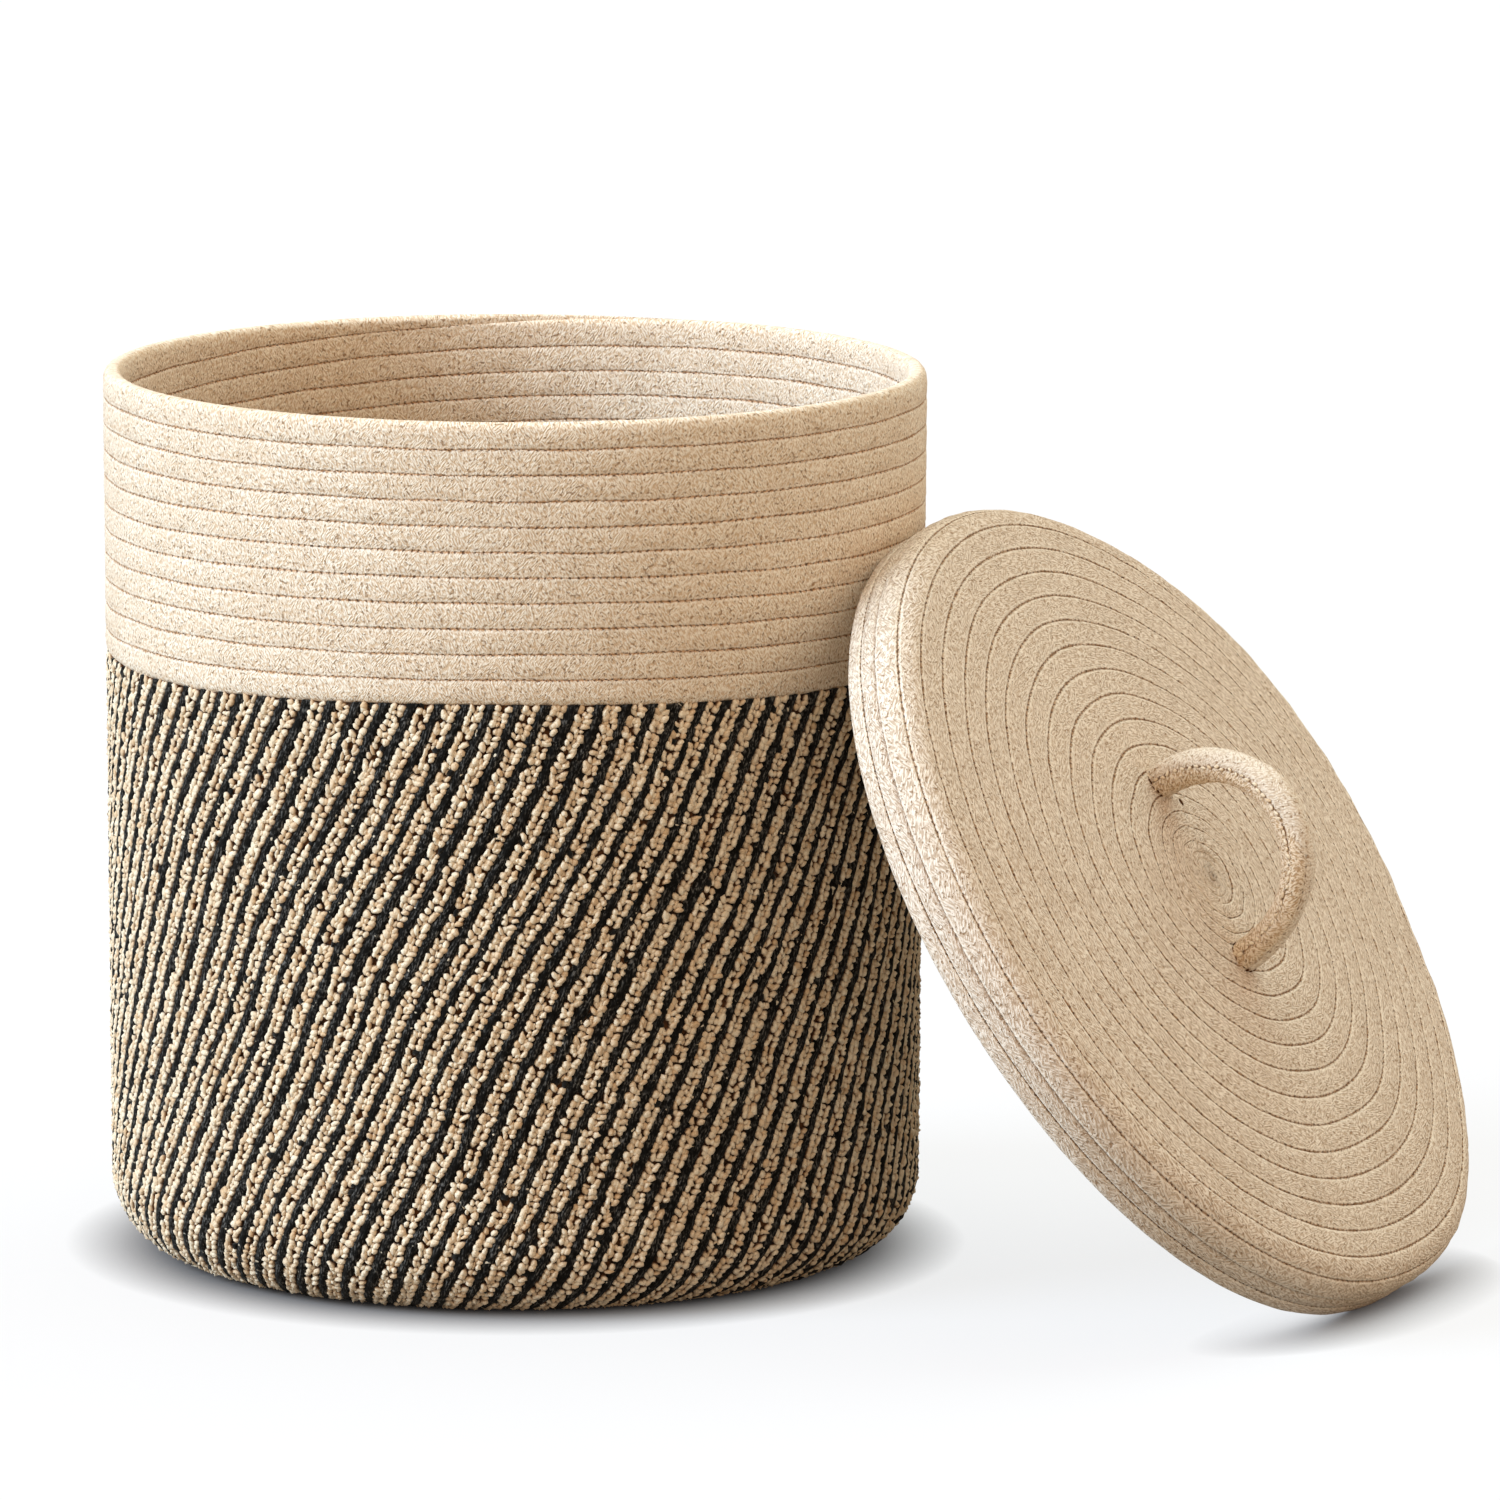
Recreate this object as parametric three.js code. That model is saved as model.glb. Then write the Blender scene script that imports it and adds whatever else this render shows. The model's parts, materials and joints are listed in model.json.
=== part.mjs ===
// Lidded laundry basket sewn from coiled cotton rope, with its lid taken off and leaning on its side.
// Millimetres, +Z up. The origin is the middle of the basket's foot, on the floor.
// The lid leans towards +X: its lower edge stands on the floor, its upper edge rests on the basket wall.
import * as THREE from 'three';

// Driving dimensions of the rope and the cloth
const rowHeight = 12.5; // from one row of the coil to the next
const ropeThickness = 9.5; // through the wall, from the outer face to the inner face
const rowGap = 0.45; // clear space between neighbouring rows of the coil
const outerFlat = 0.78; // share of a row's height that is flat on its outer face
const innerFlat = 0.55; // and on its inner face
const seamShare = 0.4; // where rows meet, from the middle of the thickness to the outer face
const endHeight = 2.5; // height left where the rope's thinned end is sewn down
const clearance = 0.3; // between pieces that touch

// Driving dimensions of the basket
const rimRadius = 200;
const wallTaper = 2; // the upright wall is this much narrower just above its corner than at the rim
const basketHeight = 432;
const plainRows = 11;
const cornerRadius = 38; // where the wall turns under to the foot
const climbStart = 75; // degrees round the basket, where each row starts to climb to the next
const climbSpan = 120; // degrees that the climb takes, at the back of the basket
const floorGroove = 1; // depth of the grooves between the rows of the floor
const ribs = 95; // slanting ribs round the lower wall
const ribSlant = 63; // degrees between a rib and the horizontal
const ribDepth = 1.4;

// Driving dimensions of the lid
const lidFit = 4.4; // clear space all round between the lid's band and the rim, when it is on
const domeRise = 12.9; // of the lid's middle above the edge of its top
const shoulderRadius = 12; // of the rope's middle line round the shoulder
const sideRowHeight = 8.8; // the rows are drawn closer together round the shoulder
const shoulderRows = 2; // rows of the top's rope beyond the flat top, down to the strong seam
const bandRows = 2; // rows of the band that is sewn on below the seam
const topRowHeight = 13.2; // of the rows on the lid's top
const middleTurns = 5; // the spiral's first turns, which are wound from a thinner end
const middleRowHeight = 8.2;
const evenTurns = 6; // the spiral's first turns, which run out evenly
const lidClimbStart = 60; // degrees round the lid's axis, where each outer row steps to the next

// Driving dimensions of the loop handle
const handleRope = 15.5; // diameter
const handleReach = 50.5; // from the middle of the arch to the rope's middle line at each foot
const handleRise = 53; // from the lid's face to the rope's middle line at the top of the arch
const handleTurn = -7; // degrees round the lid's axis

// How the lid leans
const lidTilt = 56.6; // degrees between the lid's axis and the vertical
const lidSideways = 42; // its middle lies this far to one side of the basket's axis

// Facets
const stepsPerTurn = 24;
const middleRadius = 42; // nearer to the axis, every second step is left out
const floorFacets = 36;
const wallSteps = 5; // up the straight part of the lower wall
const cornerSteps = 5;
const innerCornerSteps = 3;
const handleSides = 12;
const handleSteps = 22;

const degrees = THREE.MathUtils.degToRad;
const { clamp, lerp, smoothstep } = THREE.MathUtils;

// A meridian is the line of the rope's middle in a half plane through the axis, made of lines and arcs.
// Its heading is the angle below the outward horizontal.
class Meridian {
  constructor(radius, height, heading) {
    this.pieces = [];
    this.end = { radius, height, heading };
    this.length = 0;
  }

  line(length) {
    return this.add(length, 0);
  }

  arc(radius, turn) {
    return this.add(radius * turn, 1 / radius);
  }

  add(length, bend) {
    this.pieces.push({ from: this.length, bend, ...this.end });
    this.length += length;
    this.end = this.at(this.length);
    return this;
  }

  at(distance) {
    const piece = this.pieces.findLast(({ from }) => from <= distance) ?? this.pieces[0];
    const { from, bend, radius, height, heading } = piece;
    const gone = distance - from;
    const turned = heading + bend * gone;
    const out = bend ? (Math.sin(turned) - Math.sin(heading)) / bend : gone * Math.cos(heading);
    const down = bend ? (Math.cos(heading) - Math.cos(turned)) / bend : gone * Math.sin(heading);
    return { radius: radius + out, height: height - down, heading: turned };
  }
}

// A skin through rings of points that run anticlockwise about the way ahead. It closes on its first ring,
// or else has flat ends.
function skinThrough(rings, closes) {
  const sides = rings[0].length;
  const faces = [];
  const last = (rings.length - 1) * sides;
  for (let ring = 0; ring < last + sides; ring += sides) {
    const next = ring === last ? 0 : ring + sides;
    for (let side = 0; side < sides && (closes || next); side += 1) {
      const beside = (side + 1) % sides;
      faces.push(ring + side, ring + beside, next + beside);
      faces.push(ring + side, next + beside, next + side);
    }
  }
  for (let side = 1; side + 1 < sides && !closes; side += 1) {
    faces.push(0, side + 1, side);
    faces.push(last, last + side, last + side + 1);
  }
  const geometry = new THREE.BufferGeometry().setFromPoints(rings.flat());
  geometry.setIndex(faces);
  geometry.computeVertexNormals();
  return geometry;
}

// The rope's section, as shares of half a row's height along the coil and half the thickness across it
const ropeSection = [
  [1, seamShare],
  [innerFlat, -1],
  [-innerFlat, -1],
  [-1, seamShare],
  [-outerFlat, 1],
  [outerFlat, 1],
];

// Rings of one unbroken rope wound round the axis. After a number of turns, its row lies between the
// edge of one turn before and the edge there, as distances along the meridian. Where the two draw
// together the row thins away, so the coil starts and ends level.
function woundRope(meridian, edge, rows, startAngle) {
  const rings = [];
  const ringAt = (turns) => {
    const low = edge(turns - 1);
    const high = edge(turns);
    const { radius, height, heading } = meridian.at((low + high) / 2);
    const halfHeight = (high - low - rowGap) / 2;
    const angle = startAngle + turns * 2 * Math.PI;
    return ropeSection.map(([alongShare, acrossShare]) => {
      const along = alongShare * halfHeight;
      const across = (acrossShare * ropeThickness) / 2;
      const out = radius + along * Math.cos(heading) + across * Math.sin(heading);
      const up = height - along * Math.sin(heading) + across * Math.cos(heading);
      return new THREE.Vector3(out * Math.cos(angle), out * Math.sin(angle), up);
    });
  };
  for (let step = 0; step <= (rows + 1) * stepsPerTurn; step += 1) {
    const turns = step / stepsPerTurn;
    const thick = edge(turns) - edge(turns - 1) >= endHeight + rowGap;
    const needed = step % 2 === 0 || meridian.at(edge(turns)).radius > middleRadius;
    if (thick && needed) rings.push(ringAt(turns));
  }
  return rings;
}

// The least distance between a wound rope's points and its points half a turn or more further on
function leastSelfGap(rings) {
  let least = Infinity;
  rings.forEach((ring, index) => {
    const later = rings.slice(index + stepsPerTurn / 2, index + 2 * stepsPerTurn).flat();
    for (const point of ring) {
      for (const other of later) least = Math.min(least, point.distanceTo(other));
    }
  });
  return least;
}

// Rows climbed after a number of turns, where each row is level but for the climb at its start
function levelRows(turns) {
  const whole = Math.floor(turns);
  return whole + smoothstep(turns - whole, 0, climbSpan / 360);
}

function piece(name, geometry, colour) {
  const material = new THREE.MeshStandardMaterial({ color: colour, roughness: 0.95, metalness: 0 });
  const mesh = new THREE.Mesh(geometry, material);
  mesh.name = name;
  return mesh;
}

function ropePiece(name, rings, colour) {
  console.log(`${name}: least gap between its turns ${leastSelfGap(rings).toFixed(2)} mm`);
  return piece(name, skinThrough(rings, false), colour);
}

const creamCotton = '#e3cfb1';
const lidCotton = '#d3b992';
const stripedCloth = '#7b6a55';

const wallLean = Math.atan2(wallTaper, basketHeight - cornerRadius);
const plainHeight = plainRows * rowHeight;
const plainBottom = basketHeight - plainHeight;

function wallRadiusAt(height) {
  return rimRadius - (basketHeight - height) * Math.tan(wallLean);
}

// The lower wall goes straight down and then round the corner, until it lies flat on the floor
const lowerTop = plainBottom + rowGap / 2 - clearance;
const bendRadius = cornerRadius - ropeThickness / 2;
const cornerTop = ropeThickness / 2 + bendRadius * (1 - Math.sin(wallLean));
const straightLength = (lowerTop - cornerTop) / Math.cos(wallLean);
const lowerMeridian = new Meridian(wallRadiusAt(lowerTop) - ropeThickness / 2, lowerTop, Math.PI / 2 + wallLean)
  .line(straightLength)
  .arc(bendRadius, Math.PI / 2 - wallLean);

// Floor: the flat coil that the basket stands on, with a groove between its rows on the upper face
function makeFloor() {
  const radius = lowerMeridian.end.radius - clearance;
  const profile = [[0, 0], [radius, 0], [radius, ropeThickness]];
  for (let row = Math.floor(radius / rowHeight); row > 0; row -= 1) {
    profile.push([row * rowHeight, ropeThickness - floorGroove]);
    profile.push([(row - 0.5) * rowHeight, ropeThickness]);
  }
  profile.push([0, ropeThickness], [0, 0]);
  const points = profile.map(([out, height]) => new THREE.Vector2(out, height));
  return piece('floor', new THREE.LatheGeometry(points, floorFacets).rotateX(Math.PI / 2), stripedCloth);
}

// Lower wall: striped cloth from the plain rows down to the floor, with a raised rib along each pale stripe.
// Every second column of points is a groove.
function makeStripedWall() {
  const twist = 1 / (Math.tan(degrees(ribSlant)) * rimRadius); // of the ribs, in radians for each millimetre
  const ringAt = (distance, across, groove) => {
    const { radius, height, heading } = lowerMeridian.at(distance);
    return Array.from({ length: 2 * ribs }, (_, column) => {
      const depth = across - (column % 2) * groove;
      const angle = (column * Math.PI) / ribs - distance * twist;
      const out = radius + depth * Math.sin(heading);
      const up = height + depth * Math.cos(heading);
      return new THREE.Vector3(out * Math.cos(angle), out * Math.sin(angle), up);
    });
  };
  const cornerLength = lowerMeridian.length - straightLength;
  const distances = (corners) => [
    ...Array.from({ length: wallSteps }, (_, step) => (step / wallSteps) * straightLength),
    ...Array.from({ length: corners + 1 }, (_, step) => straightLength + (step / corners) * cornerLength),
  ];
  const inner = distances(innerCornerSteps).map((distance) => ringAt(distance, -ropeThickness / 2, 0));
  const outer = distances(cornerSteps).map((distance) => ringAt(distance, ropeThickness / 2, ribDepth));
  return piece('striped_wall', skinThrough([...inner, ...outer.reverse()], true), stripedCloth);
}

// Plain wall: rows of one rope wound from the rim down, level round the front and climbing at the back
function makePlainWall() {
  const meridian = new Meridian(rimRadius - ropeThickness / 2, basketHeight, Math.PI / 2 + wallLean);
  meridian.line(plainHeight);
  const edge = (turns) => clamp(levelRows(turns) * rowHeight, 0, plainHeight);
  return ropePiece('plain_wall', woundRope(meridian, edge, plainRows, degrees(climbStart)), creamCotton);
}

// The lid's own frame has its axis along Z and the middle of its top, on the rope's middle line, at 0
const bandRadius = rimRadius + lidFit + ropeThickness / 2; // of the rope's middle line
const lidRadius = bandRadius + ropeThickness / 2;

// The dome meets the shoulder arc with no kink. Its slope there follows from its rise.
function lidShape() {
  let slope = 0;
  for (let round = 0; round < 8; round += 1) {
    const topRadius = bandRadius - shoulderRadius * (1 - Math.sin(slope));
    slope = 2 * Math.atan(domeRise / topRadius);
  }
  const topRadius = bandRadius - shoulderRadius * (1 - Math.sin(slope));
  return { slope, domeRadius: topRadius / Math.sin(slope) };
}

const { slope: topSlope, domeRadius } = lidShape();
const topLength = domeRadius * topSlope;
const shoulderTurn = Math.PI / 2 - topSlope;
const seamDistance = topLength + shoulderRows * sideRowHeight;
const lidLength = seamDistance + bandRows * sideRowHeight;
const outerTurns = Math.ceil((topLength - middleTurns * middleRowHeight) / topRowHeight);
const spiralTurns = middleTurns + outerTurns; // of the rope, to the edge of the top

const lidMeridian = new Meridian(0, 0, 0)
  .arc(domeRadius, topSlope)
  .arc(shoulderRadius, shoulderTurn)
  .line(lidLength - topLength - shoulderRadius * shoulderTurn);

// Lid's top: one rope that spirals out from the middle and on round the shoulder
function makeLidTop() {
  const edge = (turns) => {
    const level = smoothstep(turns, evenTurns, spiralTurns);
    const rows = lerp(turns, levelRows(turns), level) - spiralTurns;
    const outward = rows < 0 ? Math.max(rows, -outerTurns) * topRowHeight : rows * sideRowHeight;
    const inward = Math.max(middleTurns - turns, 0) * middleRowHeight;
    return clamp(topLength + outward - inward, rowGap, seamDistance);
  };
  return woundRope(lidMeridian, edge, spiralTurns + shoulderRows, degrees(lidClimbStart));
}

// Lid's band: the rows below the strong seam, which go down outside the basket's rim
function makeLidBand() {
  const edge = (turns) => clamp(seamDistance + levelRows(turns) * sideRowHeight, seamDistance, lidLength);
  return woundRope(lidMeridian, edge, bandRows, degrees(lidClimbStart));
}

// Loop handle: an arch of rope whose two cut ends are sewn down flat on the lid's top
function makeHandle() {
  const footSlope = Math.asin(handleReach / domeRadius);
  const faceRadius = domeRadius + ropeThickness / 2 + clearance;
  const footHeight = faceRadius * Math.cos(footSlope) - domeRadius;
  const rings = [];
  for (let step = 0; step <= handleSteps; step += 1) {
    const angle = lerp(-footSlope, Math.PI + footSlope, step / handleSteps);
    const ahead = new THREE.Vector3(-Math.sin(angle), 0, Math.cos(angle));
    const outward = new THREE.Vector3(Math.cos(angle), 0, Math.sin(angle));
    const aside = ahead.clone().cross(outward);
    const share = (Math.sin(angle) + Math.sin(footSlope)) / (1 + Math.sin(footSlope));
    const middle = new THREE.Vector3(handleReach * Math.cos(angle), 0, footHeight + handleRise * share);
    const ring = Array.from({ length: handleSides }, (_, side) => {
      const round = (side / handleSides) * 2 * Math.PI;
      const point = middle.clone().addScaledVector(outward, (handleRope / 2) * Math.cos(round));
      return point.addScaledVector(aside, (handleRope / 2) * Math.sin(round));
    });
    rings.push(ring);
  }
  const mesh = piece('loop_handle', skinThrough(rings, false), lidCotton);
  mesh.rotation.z = degrees(handleTurn);
  return mesh;
}

// Points along the edges of a wound rope, close enough together to find where it touches
function pointsAlong(rings, parts) {
  return rings.slice(1).flatMap((ring, index) =>
    ring.flatMap((point, side) =>
      Array.from({ length: parts }, (_, part) => point.clone().lerp(rings[index][side], part / parts)),
    ),
  );
}

// How far out the basket's faceted wall reaches along X, at a place along Y and at a height
function wallReach(across, height) {
  const facet = (2 * Math.PI) / stepsPerTurn;
  const radius = wallRadiusAt(height) + clearance;
  let reach = -Infinity;
  for (let step = 0; step < stepsPerTurn; step += 1) {
    const angle = degrees(climbStart) + step * facet;
    const from = radius * Math.sin(angle);
    const to = radius * Math.sin(angle + facet);
    const share = (across - from) / (to - from);
    if (share >= 0 && share <= 1) {
      reach = Math.max(reach, radius * lerp(Math.cos(angle), Math.cos(angle + facet), share));
    }
  }
  return reach;
}

// The tilted lid stands with its lowest point on the floor, and is as near the basket as the wall lets it
function leanLid(lid, rings) {
  lid.rotation.y = degrees(lidTilt);
  const tilted = pointsAlong(rings, 16).map((point) => point.applyEuler(lid.rotation));
  const lift = -Math.min(...tilted.map((point) => point.z));
  const reaches = tilted.map((point) => wallReach(point.y + lidSideways, point.z + lift) - point.x);
  lid.position.set(Math.max(...reaches), lidSideways, lift);
}

const basket = new THREE.Group();
basket.add(makeFloor(), makeStripedWall(), makePlainWall());

const lid = new THREE.Group();
const topRings = makeLidTop();
const bandRings = makeLidBand();
lid.add(ropePiece('lid_top', topRings, lidCotton), ropePiece('lid_band', bandRings, lidCotton), makeHandle());
leanLid(lid, bandRings);

const laundryBasket = new THREE.Group();
laundryBasket.add(basket, lid);

export default laundryBasket;
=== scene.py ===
# Lidded laundry basket of coiled cotton rope: plain rows above, striped knotted cloth below,
# and the lid off, leaning on the basket's side. Metres, +Z up, the lid towards +X.
import json
import math

import bpy
import numpy as np
from mathutils import Matrix, Vector


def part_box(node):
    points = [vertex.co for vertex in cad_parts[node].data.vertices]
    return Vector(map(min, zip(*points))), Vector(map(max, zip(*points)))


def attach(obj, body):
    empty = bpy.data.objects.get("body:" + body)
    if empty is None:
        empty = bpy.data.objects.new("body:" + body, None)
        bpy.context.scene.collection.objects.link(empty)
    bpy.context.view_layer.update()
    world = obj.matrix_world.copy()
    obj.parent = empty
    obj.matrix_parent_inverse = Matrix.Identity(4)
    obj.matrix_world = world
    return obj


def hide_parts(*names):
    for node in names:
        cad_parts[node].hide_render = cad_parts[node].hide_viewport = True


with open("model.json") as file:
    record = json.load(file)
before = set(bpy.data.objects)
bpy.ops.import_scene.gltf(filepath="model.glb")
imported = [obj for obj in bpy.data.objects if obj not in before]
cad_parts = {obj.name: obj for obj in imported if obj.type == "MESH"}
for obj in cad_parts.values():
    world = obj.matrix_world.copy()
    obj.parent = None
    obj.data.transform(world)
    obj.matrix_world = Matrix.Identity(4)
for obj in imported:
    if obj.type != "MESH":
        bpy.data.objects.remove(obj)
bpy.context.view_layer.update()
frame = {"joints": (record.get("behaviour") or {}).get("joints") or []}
bpy.ops.object.select_all(action="DESELECT")
scene = bpy.context.scene
scene.view_settings.view_transform = "Standard"
print("frame loaded")

photo = {
    "place": (2.5564, -5.0161, 1.2010),
    "turn": 25.84,  # degrees round the vertical
    "dip": 9.65,  # degrees below the horizon
    "roll": 0.17,
    "lens": 280.69,  # millimetres, on a sensor 36 mm wide
}


def addCamera(look):
    bpy.ops.object.camera_add(location=look["place"])
    camera = bpy.context.object
    turn = Matrix.Rotation(math.radians(look["turn"]), 4, "Z")
    dip = Matrix.Rotation(math.radians(90 - look["dip"]), 4, "X")
    roll = Matrix.Rotation(math.radians(look["roll"]), 4, "Z")
    camera.matrix_world = Matrix.Translation(look["place"]) @ turn @ dip @ roll
    camera.data.sensor_width = 36
    camera.data.lens = look["lens"]
    camera.data.clip_end = 100
    scene.camera = camera


addCamera(photo)


# Shader maths as expressions: a Wire is one output socket in a node tree
class Wire:
    def __init__(self, shader, socket):
        self.shader, self.socket = shader, socket

    def maths(self, operation, *others):
        inputs = {i: value for i, value in enumerate((self, *others))}
        return self.shader.node("ShaderNodeMath", {"operation": operation}, inputs)

    def __add__(self, other): return self.maths("ADD", other)
    def __mul__(self, other): return self.maths("MULTIPLY", other)
    def __sub__(self, other): return self.maths("SUBTRACT", other)
    def __truediv__(self, other): return self.maths("DIVIDE", other)
    def __rsub__(self, other): return (self * -1) + other
    def __abs__(self): return self.maths("ABSOLUTE")
    __radd__, __rmul__ = __add__, __mul__

    def between(self, low, high):  # 0 below low, 1 above high, smooth between
        settings = {"interpolation_type": "SMOOTHSTEP"}
        inputs = {"Value": self, "From Min": low, "From Max": high}
        return self.shader.node("ShaderNodeMapRange", settings, inputs)


class Shader:  # the node tree of a material, or of the world
    def __init__(self, owner):
        self.owner = owner
        self.owner.use_nodes = True
        self.tree = self.owner.node_tree
        self.surface = self.tree.nodes.get("Principled BSDF")

    def node(self, kind, settings=None, inputs=None, output=0):
        made = self.tree.nodes.new(kind)
        for key, value in (settings or {}).items():
            setattr(made, key, value)
        for key, value in (inputs or {}).items():
            if isinstance(value, Wire):
                self.tree.links.new(value.socket, made.inputs[key])
            else:
                made.inputs[key].default_value = value
        return Wire(self, made.outputs[output])

    def attribute(self, name):
        return self.node("ShaderNodeAttribute", {"attribute_name": name}, output="Fac")

    def noise(self, size, detail=2, roughness=0.5):  # size in metres, in the piece's own space
        places = self.node("ShaderNodeTexCoord", output="Object")
        inputs = {"Vector": places, "Scale": 1 / size, "Detail": detail, "Roughness": roughness}
        return self.node("ShaderNodeTexNoise", {}, inputs)

    def strokes(self, along, rise, angle, length, width):
        # Noise drawn out into short strokes on the rope's own surface, at an angle to its length
        cosine, sine = math.cos(math.radians(angle)), math.sin(math.radians(angle))
        ahead = (along * cosine + rise * sine) / length
        beside = (rise * cosine - along * sine) / width
        places = self.node("ShaderNodeCombineXYZ", {}, {"X": ahead, "Y": beside})
        inputs = {"Vector": places, "Scale": 1, "Detail": 1}
        return self.node("ShaderNodeTexNoise", {"noise_dimensions": "2D"}, inputs)

    def mix(self, share, first, second):
        inputs = {0: share, 6: first, 7: second}
        return self.node("ShaderNodeMix", {"data_type": "RGBA"}, inputs, output=2)

    def over(self, tone, share, colour):  # a colour, as it is seen, laid over the tone
        return self.mix(share, tone, colourOf(*colour))

    def bump(self, height, distance, strength=0.9):
        inputs = {"Height": height, "Distance": distance, "Strength": strength}
        return self.node("ShaderNodeBump", {}, inputs)

    def finish(self, colour, normal, roughness=0.9, sheen=0.15, specular=0.12):
        self.tree.links.new(colour.socket, self.surface.inputs["Base Color"])
        self.tree.links.new(normal.socket, self.surface.inputs["Normal"])
        self.surface.inputs["Roughness"].default_value = roughness
        self.surface.inputs["Specular IOR Level"].default_value = specular
        self.surface.inputs["Sheen Weight"].default_value = sheen
        self.surface.inputs["Sheen Roughness"].default_value = 0.5
        self.surface.inputs["Sheen Tint"].default_value = (1, 0.88, 0.72, 1)
        return self.owner

    def show(self, shown):  # in place of what the tree showed at first
        output = next(node for node in self.tree.nodes if "Output" in node.bl_idname)
        self.tree.nodes.remove(output.inputs["Surface"].links[0].from_node)
        self.tree.links.new(shown.socket, output.inputs["Surface"])
        return self.owner


def newMaterial(name):
    return Shader(bpy.data.materials.new(name))


def colourOf(red, green, blue, lift=1.0):  # a colour as it is seen, 0 to 255, turned to light
    def light(value):
        share = value / 255
        return share / 12.92 if share <= 0.04045 else ((share + 0.055) / 1.055) ** 2.4
    return (light(red) * lift, light(green) * lift, light(blue) * lift, 1)


cottonLook = {
    "pit": (152, 112, 72),
    # the colour of the painted shade in the needle holes
    "holeShadeColour": (92, 54, 26),
    # the colour of the painted highlight beside the seam
    "ridge": (252, 238, 214),
    "fuzzFibre": (242, 219, 186),
    "fuzzBetween": (188, 151, 108),
    "fuzzy": 0.85,
    "stitch": 0.0037,  # from one needle hole to the next
    "astray": (0.014, 0.008),  # how often and how far the holes leave their places
    "grain": 0.0009,
    "patch": (0.009, 0.46, 0.60),  # size, and from and to which value the other slant comes in
    # What else varies over the rope: size, from and to which value it comes in, how strongly
    "mottle": (0.035, 0.35, 0.75, 0.22),
    # uneven also breaks up the painted shade on a row's lower side, and its last number is how
    # strong that shade is
    "uneven": (0.0045, 0.3, 0.7, 0.45),
    "pitting": (0.0014, 0.68, 0.76, 0.7),
    "rowShadeSide": (0.25, 1.0),  # where the painted shade on a row's lower side comes in
    "ridgeSides": (0.20, 0.12, 0.06),  # how far from the seam's line the painted highlight lies
    "ragged": 0.16,
    "relief": 0.0011,
    "holeDepth": 0.8,
    "pitDepth": 0.4,
    "wall": {
        "fibre": (251, 236, 211),
        "between": (215, 184, 147),
        # low, in each kind: the colour of the painted shade on a row's lower side
        "low": (196, 156, 112),
        # thread, in each kind: the brown line painted in the seam as shade of its groove
        "thread": (192, 122, 54),
        "slants": (60, -54),
        "size": (0.0023, 0.0007),
        "fine": 0.2,
        "mixed": (0.41, 0.58),
        "seam": (0.90, 1.01),
        "line": 0.6,
        "holeShade": 0.85,
        "highlightShare": 0.35,
    },
    "lid": {
        "fibre": (241, 224, 201),
        "between": (198, 173, 145),
        "low": (208, 181, 150),
        "thread": (158, 112, 64),
        "slants": (16, -24),
        "size": (0.0036, 0.0007),
        "fine": 0.2,
        "mixed": (0.42, 0.57),
        "seam": (0.91, 1.0),
        "line": 0.8,
        "holeShade": 0.85,
        "highlightShare": 0.5,
    },
    "handle": {
        "fibre": (238, 222, 198),
        "between": (210, 186, 157),
        "low": (206, 178, 145),
        "thread": (160, 112, 66),
        "slants": (60, -54),
        "size": (0.0022, 0.0008),
        "fine": 0.3,
        "mixed": (0.42, 0.56),
        "seam": (0.55, 1.0),
        "line": 0.55,
        "holeShade": 0.6,
        "highlightShare": 0.2,
    },
}


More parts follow.
